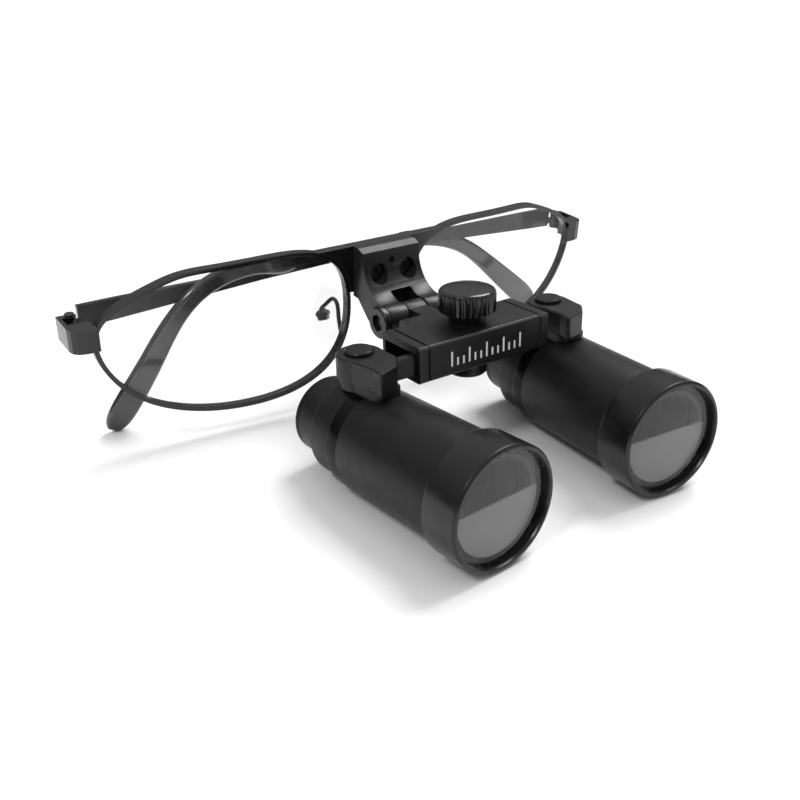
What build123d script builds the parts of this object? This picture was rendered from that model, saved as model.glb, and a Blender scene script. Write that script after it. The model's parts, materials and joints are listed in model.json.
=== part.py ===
from build123d import *
import os
from math import acos, atan2, cos, degrees, pi, radians, sin, tan

# Flip-up binocular loupes on a spectacle frame, in millimetres.
# +Z is up, the loupes look along -Y and +X is to the right of somebody looking along +Y.
# The loupes are modelled in their own frame (suffix _u): origin at the middle of the two front
# rings, barrels lying along Y.  The spectacles have another (suffix _s): origin on the bridge, in
# the plane of the lenses.  Both are then laid on the table as they rest, joined at the flip hinge.

# ---------------------------------------------------------------- driving dimensions
FIT = 0.06                  # radial play of every turning fit
GAP = 0.15                  # play between sliding faces

# barrels, in a frame with its origin on the pivot axis at the height of the barrel's axis
BEZEL_R = 12.47
TUBE_R = 11.21
FRONT_Y = -41.3
BEZEL_LENGTH = 8.5
TUBE_END_Y = -2.0
STEP_R, STEP_END_Y = 10.4, 4.2
EYE_R, EYE_END_Y = 8.4, 11.2
CUP_END_Y = 12.8
PIVOT_X = 25.2              # half of the distance between the pivots
PIVOT_Y = 40.67
TOE_IN = 4.7                # degrees, at rest
CONTACT_FRONT = 7.7         # behind the front rings: the bezels' rear edges, on the table
CONTACT_REAR = 38.3         # behind the front rings: the tubes' rear edges, on the table

# cross bar
BAR_FRONT, BAR_REAR = 31.65, 44.75
BAR_BOTTOM, BAR_TOP = 11.4, 19.12
BAR_HALF = 14.4
CAP_THICK = 2.6
CHANNEL_FRONT, CHANNEL_REAR = 32.65, 43.75
CHANNEL_BOTTOM, CHANNEL_TOP = 13.1, 17.5

# rack and pinion
MODULE = 0.5
TEETH = 12
PRESSURE = radians(25)
PITCH_R = MODULE * TEETH / 2
BACKLASH = 0.08
RACK_PITCH = pi * MODULE
KNOB_Y = (CHANNEL_FRONT + CHANNEL_REAR) / 2
KNOB_R, KNOB_TOP, KNOB_HEIGHT = 6.06, 26.86, 5.17
KNOB_FLUTES = 30
SHAFT_R = 1.5
ARM_BOTTOM, ARM_TOP = CHANNEL_BOTTOM + GAP, CHANNEL_TOP - GAP
RACK_INNER_END = 11.8

# pivot blocks
BLOCK_BOTTOM, BLOCK_TOP = 12.8, 17.7
BLOCK_ROUND_R = 4.8
BLOCK_TURN = 4.3            # degrees: each block points along its barrel
PIVOT_SCREW_R, PIVOT_HEAD_R = 1.3, 3.0
SADDLE_SCREWS_Y = (-8.2, -5.2)

# flip hinge, in both frames
HINGE_U = (58.2, 15.2)      # y, z in the loupe frame
HINGE_S = (-14.05, -3.25)   # y, z in the spectacle frame
HINGE_R = 1.6
KNUCKLE_R = 3.4
SLOT_HALF = 2.8
TONGUE_HALF = 2.5
BRACKET_HALF = 7.65
FRAME_TILT = 3.83           # degrees, top of the lenses leaning forwards

# spectacle front
WRAP_R = 357.0              # radius that the front is curved to, seen from above
RIM_HALF = 0.5              # half of the rim wire's width, about the outline below
RIM_DEPTH = 1.9
LENS_THICK = 1.6
# outline of the right rim, x and z
RIM_OUTLINE = [(8.96, 0), (16.7, -20.1), (36.6, -23.7), (51.0, -20.7), (62.0, -12.9), (65.5, 0),
               (54.8, 7.5), (47.5, 9.8), (41.0, 10.2), (29.9, 10.5)]
BRIDGE_THICK = 2.2
BRIDGE_TOP, BRIDGE_BOTTOM = 10.2, -1.0
SCREW_X, SCREW_Z = 3.93, 4.5
END_OUTER = 70.9            # outer face of the end piece
END_TOP, END_BOTTOM = 1.4, -3.8
STRAP = 0.85                # thickness of the end piece

# temples, folded: the blade runs straight from its hinge, then the plastic tip bends down
TEMPLE_X, TEMPLE_Y, TEMPLE_Z = 68.2, 13.2, 0.3
KNUCKLE, TEMPLE_SCREW_R = 1.3, 0.6
EYE_LOW, EYE_HIGH = -1.55, -0.15    # the temple's own knuckle
BLADE_OFFSET = 0.95         # the blade's middle plane lies this far behind the hinge axis
BLADE_THICK = 1.2
BLADE_START = 1.9           # from the hinge axis
BLADE_ROOT, BLADE_NECK = 5.1, 2.4
SLEEVE_START = 84.0         # along the blade, where the plastic tip begins
TANG = 9.0
# rise of the blade in degrees, start of the bend, length of the bend, angle of the bend in
# degrees, whole length, splay when folded, how far the end curves away from the lenses
TEMPLE_LEFT = (0.75, 85.4, 30.0, 41.0, 144.4, 0.020, 1.0)
TEMPLE_RIGHT = (2.35, 95.5, 23.5, 60.9, 147.0, -0.020, 5.0)
# tip sections: part of the tip's length, height, thickness
TIP_SECTIONS = [(0.0, 4.2, 2.2), (0.12, 4.2, 2.2), (0.25, 4.1, 2.2), (0.4, 4.2, 2.3), (0.55, 4.8, 2.3),
                (0.7, 5.7, 2.3), (0.85, 6.4, 2.3), (0.93, 6.2, 2.2), (0.98, 4.6, 1.8), (1.0, 2.6, 1.2)]

# nose pads: middle of the right pad's back, and the pad's own axes
PAD_AT = (9.0, 9.3, -10.3)
PAD_HEIGHT, PAD_WIDTH, PAD_THICK = 14.5, 7.6, 1.8
PAD_YAW, PAD_LEAN = 55.0, -14.0
PAD_PIN_Y, PAD_PIN_R = -1.2, 0.4
PAD_LUG_R, PAD_LUG_HALF = 0.95, 0.45
ARM_R = 0.45


# ---------------------------------------------------------------- small helpers
def block(x, y, z):
    """A box given by its low and high corners along each axis."""
    size = (x[1] - x[0], y[1] - y[0], z[1] - z[0])
    middle = ((x[0] + x[1]) / 2, (y[0] + y[1]) / 2, (z[0] + z[1]) / 2)
    return Pos(*middle) * Box(*size)


def rod_x(radius, x0, x1, y, z):
    return Pos((x0 + x1) / 2, y, z) * Rot(Y=90) * Cylinder(radius, abs(x1 - x0))


def rod_y(radius, y0, y1, x=0.0, z=0.0):
    return Pos(x, (y0 + y1) / 2, z) * Rot(X=-90) * Cylinder(radius, abs(y1 - y0))


def rod_z(radius, z0, z1, x=0.0, y=0.0):
    return Pos(x, y, (z0 + z1) / 2) * Cylinder(radius, abs(z1 - z0))


def turned_y(profile):
    """A body turned about the Y axis from (radius, y) points."""
    sketch = make_face(Polyline(*[(r, y, 0) for r, y in profile], close=True))
    return revolve(sketch, Axis.Y)


def prism_z(points, z0, z1):
    sketch = make_face(Polyline(*[(x, y) for x, y in points], close=True))
    return Pos(0, 0, z0) * extrude(sketch, z1 - z0)


def mirror_x(shape):
    return mirror(shape, Plane.YZ)


def on_side(shape, side):
    """A shape modelled for the right side (+X), or its mirror image for the left."""
    return shape if side > 0 else mirror_x(shape)


def hex_socket(size, depth):
    return extrude(RegularPolygon(size, 6), depth)


# ---------------------------------------------------------------- barrels
def barrel_tube():
    body = turned_y([
        (9.9, FRONT_Y + BEZEL_LENGTH), (TUBE_R, FRONT_Y + BEZEL_LENGTH), (TUBE_R, TUBE_END_Y - 0.4),
        (TUBE_R - 0.4, TUBE_END_Y), (STEP_R, TUBE_END_Y), (STEP_R, STEP_END_Y - 0.3),
        (STEP_R - 0.3, STEP_END_Y), (EYE_R - 1.0, STEP_END_Y), (EYE_R - 1.0, STEP_END_Y - 2.5),
        (9.3, STEP_END_Y - 2.5), (9.3, TUBE_END_Y - 1.0), (9.9, TUBE_END_Y - 1.0)])
    seat = saddle_foot(TUBE_R + 1)
    holes = [rod_z(0.5, 9, 12, 0, y) for y in SADDLE_SCREWS_Y]
    return body - seat - holes - rod_x(0.55, 9.0, 12.0, FRONT_Y + 27, 0)


def bezel():
    return turned_y([
        (9.9, FRONT_Y + 1.9), (11.3, FRONT_Y + 1.9), (11.3, FRONT_Y + 0.5), (11.5, FRONT_Y),
        (BEZEL_R - 0.5, FRONT_Y), (BEZEL_R, FRONT_Y + 0.5), (BEZEL_R, FRONT_Y + BEZEL_LENGTH - 0.3),
        (BEZEL_R - 0.3, FRONT_Y + BEZEL_LENGTH), (9.9, FRONT_Y + BEZEL_LENGTH)])


def lens_disc(radius, front, edge, crown):
    """A lens whose front face bulges forwards and whose rear face is flat."""
    ball = (radius * radius + crown * crown) / (2 * crown)
    cap = Pos(0, front - crown + ball, 0) * Sphere(ball)
    return rod_y(radius, front - crown, front + edge) & cap


def objective():
    return lens_disc(11.3, FRONT_Y + 1.15, 0.75, 0.9)


def lens_ring():
    """Threaded ring behind the objective, with two spanner slots."""
    ring = turned_y([(8.9, FRONT_Y + 2.3), (9.9, FRONT_Y + 2.3), (9.9, FRONT_Y + 4.0), (8.6, FRONT_Y + 4.0)])
    return ring - block((-11, 11), (FRONT_Y + 2, FRONT_Y + 2.9), (-0.5, 0.5))


def baffle():
    """Stepped light baffle down the inside of the tube, which holds the erecting lenses."""
    return turned_y([
        (8.6, FRONT_Y + 6.0), (9.9, FRONT_Y + 6.0), (9.9, FRONT_Y + 30.0), (6.0, FRONT_Y + 30.0),
        (6.0, FRONT_Y + 22.0), (7.2, FRONT_Y + 22.0), (7.2, FRONT_Y + 12.0), (7.9, FRONT_Y + 12.0)])


def erecting_lens():
    return lens_disc(7.2, FRONT_Y + 14.2, 2.6, 1.0)


def eyepiece_housing():
    return turned_y([
        (6.2, STEP_END_Y - 2.4), (EYE_R - 1.05, STEP_END_Y - 2.4), (EYE_R - 1.05, STEP_END_Y + 0.02),
        (EYE_R, STEP_END_Y + 0.02), (EYE_R, EYE_END_Y), (7.4, EYE_END_Y), (7.4, EYE_END_Y - 2.2),
        (6.2, EYE_END_Y - 2.2)])


def eyepiece_lens():
    return rod_y(7.35, EYE_END_Y - 2.15, EYE_END_Y - 0.2)


def eyecup():
    return turned_y([
        (5.6, EYE_END_Y + 0.02), (EYE_R, EYE_END_Y + 0.02), (EYE_R, CUP_END_Y - 0.5),
        (EYE_R - 0.5, CUP_END_Y), (6.6, CUP_END_Y)])


def saddle_foot(top):
    """The foot that sits in a flat on top of the tube, round at the front."""
    foot = block((-3.3, 3.3), (-10.0, TUBE_END_Y), (TUBE_R - 0.8, top))
    return fillet(foot.edges().filter_by(Axis.Z).group_by(Axis.Y)[0], 2.2)


def saddle():
    """Foot screwed to the top of the tube: its rear half carries the pivot screw's thread."""
    pad = rod_z(4.2, STEP_R + 0.25, BLOCK_BOTTOM - GAP)
    bridge = block((-3.3, 3.3), (TUBE_END_Y, 0), (STEP_R + 0.25, BLOCK_BOTTOM - GAP))
    body = saddle_foot(BLOCK_BOTTOM - GAP) + pad + bridge
    counterbores = [rod_z(0.95, 11.7, 13, 0, y) + rod_z(0.5, 9, 13, 0, y) for y in SADDLE_SCREWS_Y]
    return body - counterbores - rod_z(PIVOT_SCREW_R - 0.3, 10, 13)


def saddle_screws():
    screws = []
    for y in SADDLE_SCREWS_Y:
        head = rod_z(0.9, 11.7, 12.4, 0, y) - Pos(0, y, 12.1) * hex_socket(0.45, 0.5)
        screws.append(head + rod_z(0.5, 10.0, 11.7, 0, y))
    return Compound(children=screws)


def focus_screw():
    """Small screw in the side of the tube that locks the objective cell."""
    head = rod_x(0.55, 9.95, TUBE_R - 0.15, FRONT_Y + 27, 0)
    slot = block((TUBE_R - 0.4, TUBE_R), (FRONT_Y + 26, FRONT_Y + 28), (-0.1, 0.1))
    return head - slot


def pivot_screw():
    head = rod_z(PIVOT_HEAD_R, BLOCK_TOP + 0.05, BLOCK_TOP + 0.85)
    head = chamfer(head.edges().group_by(Axis.Z)[-1], 0.25)
    shank = rod_z(PIVOT_SCREW_R, BLOCK_BOTTOM - GAP, BLOCK_TOP + 0.05)
    thread = rod_z(PIVOT_SCREW_R - 0.3, STEP_R + 0.6, BLOCK_BOTTOM - GAP)
    return head + shank + thread


# ---------------------------------------------------------------- slide arms
def rack_teeth(start, count):
    """Rack teeth along X, pointing to +Y, with the pitch line on y = 0 and a gap at x = 0."""
    tip, root = 0.8 * MODULE, -1.05 * MODULE
    half = (RACK_PITCH - BACKLASH) / 4
    teeth = []
    for i in range(start, start + count):
        x = (i + 0.5) * RACK_PITCH
        low, high = half - root * tan(PRESSURE), half - tip * tan(PRESSURE)
        outline = [(x - low, root - 0.3), (x - low, root), (x - high, tip), (x + high, tip), (x + low, root),
                   (x + low, root - 0.3)]
        teeth.append(prism_z(outline, ARM_BOTTOM, ARM_TOP))
    return teeth


def pivot_block(side):
    """Five-sided block with a round rear end.  Both sides use the same casting."""
    nose = [(-4.5, 1.3), (-3.3, -8.4), (-3.8, -11.8), (1.6, -10.0), (4.3, -6.6), (4.8, 0.0)]
    body = prism_z(nose, BLOCK_BOTTOM, BLOCK_TOP)
    corners = body.edges().filter_by(Axis.Z).sort_by(Axis.Y)[:3]
    body = fillet(corners, 0.5) + rod_z(BLOCK_ROUND_R, BLOCK_BOTTOM, BLOCK_TOP)
    body = chamfer(body.edges().group_by(Axis.Z)[-1], 0.3)
    return Pos(side * PIVOT_X, PIVOT_Y) * Rot(Z=-side * BLOCK_TURN) * body


def slide_arm(side):
    """Pivot block, bar and rack in one piece.  The left rack runs in front of the pinion."""
    front = side < 0
    back = CHANNEL_FRONT + GAP if front else CHANNEL_REAR - GAP
    pitch_line = KNOB_Y - PITCH_R if front else KNOB_Y + PITCH_R
    root = pitch_line - 1.05 * MODULE * (1 if front else -1)
    reach = (-PIVOT_X, RACK_INNER_END) if front else (-RACK_INNER_END, PIVOT_X)
    bar = block(reach, (min(back, root), max(back, root)), (ARM_BOTTOM, ARM_TOP))
    first = -4 if front else -7
    teeth = rack_teeth(first, 11)
    if not front:
        teeth = [mirror(tooth, Plane.XZ) for tooth in teeth]
    arm = bar + [Pos(0, pitch_line) * tooth for tooth in teeth] + pivot_block(side)
    return arm - rod_z(PIVOT_SCREW_R + FIT, 10, 20, side * PIVOT_X, PIVOT_Y)


# ---------------------------------------------------------------- cross bar
def bar_section(x0, x1, edge):
    body = block((x0, x1), (BAR_FRONT, BAR_REAR), (BAR_BOTTOM, BAR_TOP))
    body = chamfer(body.edges().filter_by(Axis.X), edge)
    return body - block((x0 - 1, x1 + 1), (CHANNEL_FRONT, CHANNEL_REAR), (CHANNEL_BOTTOM, CHANNEL_TOP))


def crossbar_housing():
    """Hollow bar that guides both racks, with a tongue at the rear for the flip hinge."""
    hinge_y, hinge_z = HINGE_U
    body = bar_section(-BAR_HALF, BAR_HALF, 0.45)
    boss = block((-10.3, 10.3), (BAR_REAR - 0.5, 48.4), (14.4, BAR_TOP))
    boss = chamfer(boss.edges().filter_by(Axis.X).group_by(Axis.Y)[-1], 0.7)
    neck = block((-TONGUE_HALF, TONGUE_HALF), (48.0, hinge_y), (hinge_z - 2.2, hinge_z + 2.4))
    eye = rod_x(KNUCKLE_R - 0.1, -TONGUE_HALF, TONGUE_HALF, hinge_y, hinge_z)
    body = body + boss + neck + eye
    body = body - rod_x(HINGE_R + FIT, -4, 4, hinge_y, hinge_z)
    body = body - rod_z(2.4, CHANNEL_TOP - 1, BAR_TOP + 1, 0, KNOB_Y)
    return body - rod_z(3.6, BAR_BOTTOM - 1, CHANNEL_BOTTOM + 0.5, 0, KNOB_Y)


def end_cap(side):
    near, far = BAR_HALF + 0.05, BAR_HALF + CAP_THICK
    cap = bar_section(near, far, 0.45)
    groove = bar_section(near - 0.1, near + 0.45, 0.75) - block(
        (0, 20), (BAR_FRONT + 0.25, BAR_REAR - 0.25), (BAR_BOTTOM + 0.25, BAR_TOP - 0.25))
    return on_side(cap - groove, side)


def pinion_bush():
    return rod_z(2.4, CHANNEL_TOP, BAR_TOP, 0, KNOB_Y) - rod_z(SHAFT_R + FIT, 10, 20, 0, KNOB_Y)


def pinion_cap():
    """Round cover under the housing with the pinion's lower bearing."""
    flange = rod_z(4.2, 8.0, BAR_BOTTOM, 0, KNOB_Y)
    flange = chamfer(flange.edges().group_by(Axis.Z)[0], 0.4)
    spigot = rod_z(3.6, BAR_BOTTOM, CHANNEL_BOTTOM - 0.1, 0, KNOB_Y)
    slot = block((-3, 3), (KNOB_Y - 0.4, KNOB_Y + 0.4), (7, 8.5))
    return flange + spigot - rod_z(SHAFT_R + FIT, 10.9, 14, 0, KNOB_Y) - slot


def friction_washer():
    ring = rod_z(3.6, BAR_TOP + 0.03, BAR_TOP + 0.3, 0, KNOB_Y)
    return ring - rod_z(SHAFT_R + FIT, 18, 21, 0, KNOB_Y)


# ---------------------------------------------------------------- knob and pinion
def involute_angle(radius):
    slope = acos(PITCH_R * cos(PRESSURE) / radius)
    return tan(slope) - slope


def pinion_gear():
    """Twelve involute teeth, two of them centred on the Y axis so that both racks mesh."""
    base, root, tip = PITCH_R * cos(PRESSURE), PITCH_R - 1.1 * MODULE, PITCH_R + 0.8 * MODULE
    half = (pi / 2 * MODULE - BACKLASH / 2) / 2 / PITCH_R + involute_angle(PITCH_R)
    flank = [base, (base + PITCH_R) / 2, PITCH_R, (PITCH_R + tip) / 2, tip]
    gear = Cylinder(root, 4.0)
    for i in range(TEETH):
        middle = pi / 2 + 2 * pi * i / TEETH
        side = [(r, half - involute_angle(r)) for r in flank]
        inner = [(root - 0.2, half * 0.92)]
        upper = [(r * cos(middle - a), r * sin(middle - a)) for r, a in inner + side]
        lower = [(r * cos(middle + a), r * sin(middle + a)) for r, a in reversed(inner + side)]
        gear = gear + Pos(0, 0, -2.0) * extrude(make_face(Polyline(*upper, *lower, close=True)), 4.0)
    return gear


def pinion_shaft():
    gear = Pos(0, KNOB_Y, (CHANNEL_BOTTOM + CHANNEL_TOP) / 2) * pinion_gear()
    return gear + rod_z(SHAFT_R, 11.0, KNOB_TOP - 2.0, 0, KNOB_Y)


def knob():
    bottom = KNOB_TOP - KNOB_HEIGHT
    head = rod_z(KNOB_R, bottom, KNOB_TOP)
    head = fillet(head.edges().group_by(Axis.Z)[-1], 0.8)
    head = chamfer(head.edges().group_by(Axis.Z)[0], 0.3)
    for i in range(KNOB_FLUTES):
        turn = 360 * i / KNOB_FLUTES
        head = head - Rot(Z=turn) * rod_z(0.42, bottom - 1, KNOB_TOP - 1.0, KNOB_R + 0.12, 0)
    hub = rod_z(4.0, BAR_TOP + 0.3, bottom)
    body = head + hub - rod_z(SHAFT_R, 18, KNOB_TOP - 2.0)
    return Pos(0, KNOB_Y) * (body - grub_hole(0.7))


def grub_hole(radius):
    return Rot(Z=-60) * rod_x(radius, SHAFT_R, 5.0, 0, BAR_TOP + 1.45)


def knob_grub_screw():
    screw = Rot(Z=-60) * rod_x(0.7, SHAFT_R, 3.8, 0, BAR_TOP + 1.45)
    socket = Rot(Z=-60) * Pos(3.0, 0, BAR_TOP + 1.45) * Rot(Y=90) * hex_socket(0.38, 1.0)
    return Pos(0, KNOB_Y) * (screw - socket)


# ---------------------------------------------------------------- flip hinge and bracket
def bracket():
    """Curved arm: bolted to the bridge at the back, forked at the front for the hinge."""
    y, z = HINGE_S
    edge = Polyline((-2.9, 10.1), (-4.9, 9.5), (-5.3, 6.4))
    hollow = ThreePointArc((-5.3, 6.4), (-7.4, 2.5), (y + 1.2, z + KNUCKLE_R - 0.25))
    rest = Polyline((y + 1.2, z + KNUCKLE_R - 0.25), (y, z), (y + 2.4, z - 2.4), (-7.6, z - 2.4),
                    (-3.1, -1.9), (-1.12, -1.9), (-1.12, 10.1), (-2.9, 10.1))
    side = make_face(Plane.YZ * (edge + hollow + rest))
    body = Pos(-BRACKET_HALF) * extrude(side, 2 * BRACKET_HALF)
    body = body + rod_x(KNUCKLE_R, -BRACKET_HALF, BRACKET_HALF, y, z)
    fork = block((-SLOT_HALF, SLOT_HALF), (-20, -7.6), (-9, 1.2))
    body = body - fork - rod_x(HINGE_R, -9, 9, y, z)
    for x in (-SCREW_X, SCREW_X):
        body = body - rod_y(2.25, -14, -3.1, x, SCREW_Z) - rod_y(1.0, -4, 0, x, SCREW_Z)
    return body - rod_y(0.7, -7, -4.6, 0, 7.0)


def bracket_screws():
    screws = []
    for x in (-SCREW_X, SCREW_X):
        head = rod_y(1.9, -4.3, -3.1, x, SCREW_Z)
        socket = Pos(x, -4.4, SCREW_Z) * Rot(X=-90) * hex_socket(1.0, 0.9)
        screws.append(head - socket + rod_y(1.0, -3.1, 0.9, x, SCREW_Z))
    return Compound(children=screws)


def hinge_pin():
    y, z = HINGE_S
    head = rod_x(3.7, -BRACKET_HALF - 1.9, -BRACKET_HALF - 0.4, y, z)
    head = chamfer(head.edges().group_by(Axis.X)[0], 0.35)
    socket = Pos(-BRACKET_HALF - 2.0, y, z) * Rot(Y=90) * hex_socket(2.1, 1.0)
    return head - socket + rod_x(HINGE_R, -BRACKET_HALF - 0.4, BRACKET_HALF + 2.0, y, z)


def hinge_washer():
    """Domed spring washer under the pin's head."""
    y, z = HINGE_S
    ring = rod_x(3.2, -BRACKET_HALF - 0.4, -BRACKET_HALF, y, z)
    return ring - rod_x(HINGE_R, -12, 0, y, z)


def hinge_nut():
    y, z = HINGE_S
    nut = Pos(BRACKET_HALF, y, z) * Rot(Y=90) * hex_socket(3.0, 1.7)
    return nut - rod_x(HINGE_R, 0, 12, y, z)


# ---------------------------------------------------------------- spectacle front
def rim_face(grow):
    """The right rim's outline, grown or shrunk, seen from the front."""
    middle = Spline(*[(x, z) for x, z in RIM_OUTLINE], periodic=True)
    count = 40
    points = []
    for i in range(count):
        at, along = middle @ (i / count), middle % (i / count)
        points.append((at.X + grow * along.Y, at.Y - grow * along.X))
    return make_face(Spline(*points, periodic=True))


def upright(sketch, y0, y1):
    """An x-z outline pushed through from y0 to y1."""
    return Pos(0, y0, 0) * Rot(X=90) * extrude(sketch, y0 - y1)


def front_shell(depth):
    """Curved sheet, this thick, that the spectacle front is cut from."""
    outer = Pos(0, WRAP_R, 0) * Cylinder(WRAP_R + depth / 2, 90)
    return outer - Pos(0, WRAP_R, 0) * Cylinder(WRAP_R - depth / 2, 92)


def rim(side):
    ring = upright(rim_face(RIM_HALF), -6, 14) - upright(rim_face(-RIM_HALF), -7, 15)
    return on_side(ring & front_shell(RIM_DEPTH), side)


def lens(side):
    return on_side(upright(rim_face(-RIM_HALF), -6, 14) & front_shell(LENS_THICK), side)


def bridge_plate():
    """Plate between the rims: its sides follow them."""
    corners = [(-17.5, BRIDGE_TOP), (17.5, BRIDGE_TOP), (10.6, BRIDGE_BOTTOM), (-10.6, BRIDGE_BOTTOM)]
    half = BRIDGE_THICK / 2
    plate = upright(make_face(Polyline(*corners, close=True)), -half, half)
    opening = upright(rim_face(RIM_HALF), -6, 14)
    plate = plate - opening - mirror_x(opening)
    for x in (-SCREW_X, SCREW_X):
        plate = plate - rod_y(1.0, -3, 3, x, SCREW_Z)
    return plate


def end_piece(side):
    """Strap from the rim round the corner, with the temple hinge's two outer knuckles."""
    inner = END_OUTER - STRAP
    strap = prism_z([(65.2, 4.2), (68.0, 4.3), (69.6, 4.8), (70.5, 5.7), (END_OUTER, 7.0), (END_OUTER, 14.0),
                     (inner, 14.0), (inner, 8.8), (65.6, 8.8), (65.6, 7.0), (65.2, 6.0)], END_BOTTOM, END_TOP)
    lock = block((60, inner), (6.5, 20), (END_BOTTOM - 1, END_BOTTOM + 1.1))
    body = strap - lock - (upright(rim_face(RIM_HALF), -6, 7.2) - front_rest())
    for low, high in ((EYE_LOW - 1.1, EYE_LOW - 0.1), (EYE_HIGH + 0.1, END_TOP)):
        body = body + rod_z(KNUCKLE, low, high, TEMPLE_X, TEMPLE_Y)
        body = body + block((TEMPLE_X, inner + 0.2), (TEMPLE_Y - 0.9, TEMPLE_Y + 0.8), (low, high))
    return on_side(body - rod_z(TEMPLE_SCREW_R, -5, 5, TEMPLE_X, TEMPLE_Y), side)


def front_rest():
    """Everything in front of the rims: the strap may lie there."""
    return block((0, 80), (-10, 20), (-30, 20)) - Pos(0, WRAP_R, 0) * Cylinder(WRAP_R + RIM_DEPTH / 2, 92)


def temple_screws():
    shank = rod_z(TEMPLE_SCREW_R, EYE_LOW - 1.3, END_TOP, TEMPLE_X, TEMPLE_Y)
    head = rod_z(1.0, END_TOP, END_TOP + 0.45, TEMPLE_X, TEMPLE_Y)
    slot = block((TEMPLE_X - 2, TEMPLE_X + 2), (TEMPLE_Y - 0.12, TEMPLE_Y + 0.12),
                 (END_TOP + 0.2, END_TOP + 1))
    screw = shank + head - slot
    return Compound(children=[screw, mirror_x(screw)])


# ---------------------------------------------------------------- temples
def temple_values(side):
    return TEMPLE_RIGHT if side > 0 else TEMPLE_LEFT


def blade_centre(side, along):
    """Reach from the hinge, height and slope of the temple's middle line, this far along it."""
    rise, start, length, angle = temple_values(side)[:4]
    slope = radians(rise)
    reach, height = min(along, start) * cos(slope), min(along, start) * sin(slope)
    steps = 24
    for i in range(steps if along > start else 0):
        piece = (along - start) / steps
        bent = min(1.0, (i + 0.5) * piece / length)
        slope = radians(rise - angle * bent)
        reach, height = reach + piece * cos(slope), height + piece * sin(slope)
    return reach, height, slope


def temple_blade(side):
    """Tapering flat blade with its hinge knuckle, and a tang inside the plastic tip."""
    rise, splay = temple_values(side)[0], temple_values(side)[5]
    upper = [(BLADE_START, BLADE_ROOT / 2), (10.0, BLADE_ROOT / 2 - 0.15), (45.0, BLADE_NECK / 2 + 0.15),
             (SLEEVE_START, BLADE_NECK / 2), (SLEEVE_START, 0.7), (SLEEVE_START + TANG, 0.7)]
    outline = [(-u, h) for u, h in upper] + [(-u, -h) for u, h in reversed(upper)]
    near, far = BLADE_OFFSET - BLADE_THICK / 2, BLADE_OFFSET + BLADE_THICK / 2
    blade = upright(make_face(Polyline(*outline, close=True)), near, far)
    blade = Rot(Z=degrees(-splay)) * Pos(0, 0, TEMPLE_Z) * Rot(Y=rise) * blade
    lug = block((-BLADE_START - 0.6, 0), (near, KNUCKLE), (EYE_LOW, EYE_HIGH))
    eye = rod_z(KNUCKLE, EYE_LOW, EYE_HIGH)
    body = blade + lug + eye - rod_z(TEMPLE_SCREW_R + 0.05, -3, 3)
    return on_side(Pos(TEMPLE_X, TEMPLE_Y) * body, side)


def temple_tip(side):
    """Plastic tip: a sleeve over the tang, then the bend and a flat paddle."""
    length, splay, flare = temple_values(side)[4:]
    bend = temple_values(side)[1]
    sections = []
    for part, height, thick in TIP_SECTIONS:
        along = SLEEVE_START + part * (length - SLEEVE_START)
        reach, rise, slope = blade_centre(side, along)
        curl = flare * max(0.0, (along - bend - 8) / (length - bend - 8)) ** 1.5
        centre = (-reach, BLADE_OFFSET + splay * reach + curl, TEMPLE_Z + rise)
        across = Plane(centre, x_dir=(sin(slope), 0, cos(slope)), z_dir=(-cos(slope), 0, sin(slope)))
        sections.append(across * RectangleRounded(height, thick, thick * 0.46))
    tip = loft(sections)
    return on_side(Pos(TEMPLE_X, TEMPLE_Y) * tip, side) - temple_blade(side)


# ---------------------------------------------------------------- nose pads
def pad_place():
    return Pos(*PAD_AT) * Rot(Z=PAD_YAW) * Rot(X=PAD_LEAN)


def pad_arm(side):
    """Bent wire from the rim to a small open box that holds the pad's lug."""
    end = (pad_place() * Pos(0, PAD_PIN_Y - 1.4, 0.4)).position
    path = Spline((9.6, 0.6, -13.4), (9.0, 3.0, -9.8), (8.4, 4.8, -6.4), (8.7, 6.4, -5.3), (10.3, 7.2, -6.8),
                  (end.X + 0.05, end.Y, end.Z + 1.2), (end.X, end.Y, end.Z))
    start = Plane(path @ 0, z_dir=path % 0)
    wire = sweep(start * Circle(ARM_R), path=path)
    cheek = PAD_LUG_HALF + 0.3
    box = block((-cheek - 0.6, cheek + 0.6), (PAD_PIN_Y - 1.7, PAD_PIN_Y + 0.8), (-1.3, 1.3))
    hollow = block((-cheek, cheek), (PAD_PIN_Y - 1.25, PAD_PIN_Y + 2), (-2, 2))
    box = pad_place() * (box - hollow - rod_x(PAD_PIN_R, -3, 3, PAD_PIN_Y, 0))
    wire = wire - upright(rim_face(RIM_HALF), -6, 14).intersect(front_shell(RIM_DEPTH))
    keep = pad_place() * block((-cheek, cheek), (PAD_PIN_Y - 1.25, PAD_PIN_Y + 2), (-2, 2))
    return on_side(wire - keep + box, side)


def pad_screws():
    cheek = PAD_LUG_HALF + 0.3
    pin = rod_x(PAD_PIN_R, -cheek - 0.6, cheek + 0.6, PAD_PIN_Y, 0)
    head = rod_x(0.62, cheek + 0.6, cheek + 0.9, PAD_PIN_Y, 0)
    screw = pad_place() * (pin + head)
    return Compound(children=[screw, mirror_x(screw)])


def nose_pad(side):
    """Soft oval pad with a lug on its back."""
    oval = upright(Ellipse(PAD_WIDTH / 2, PAD_HEIGHT / 2), 0, PAD_THICK)
    oval = fillet(oval.edges(), 0.7)
    lug = block((-PAD_LUG_HALF, PAD_LUG_HALF), (PAD_PIN_Y, 0.3), (-PAD_LUG_R, PAD_LUG_R))
    lug = lug + rod_x(PAD_LUG_R, -PAD_LUG_HALF, PAD_LUG_HALF, PAD_PIN_Y, 0)
    lug = lug - rod_x(PAD_PIN_R + 0.05, -2, 2, PAD_PIN_Y, 0)
    return on_side(pad_place() * (oval + lug), side)


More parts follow.
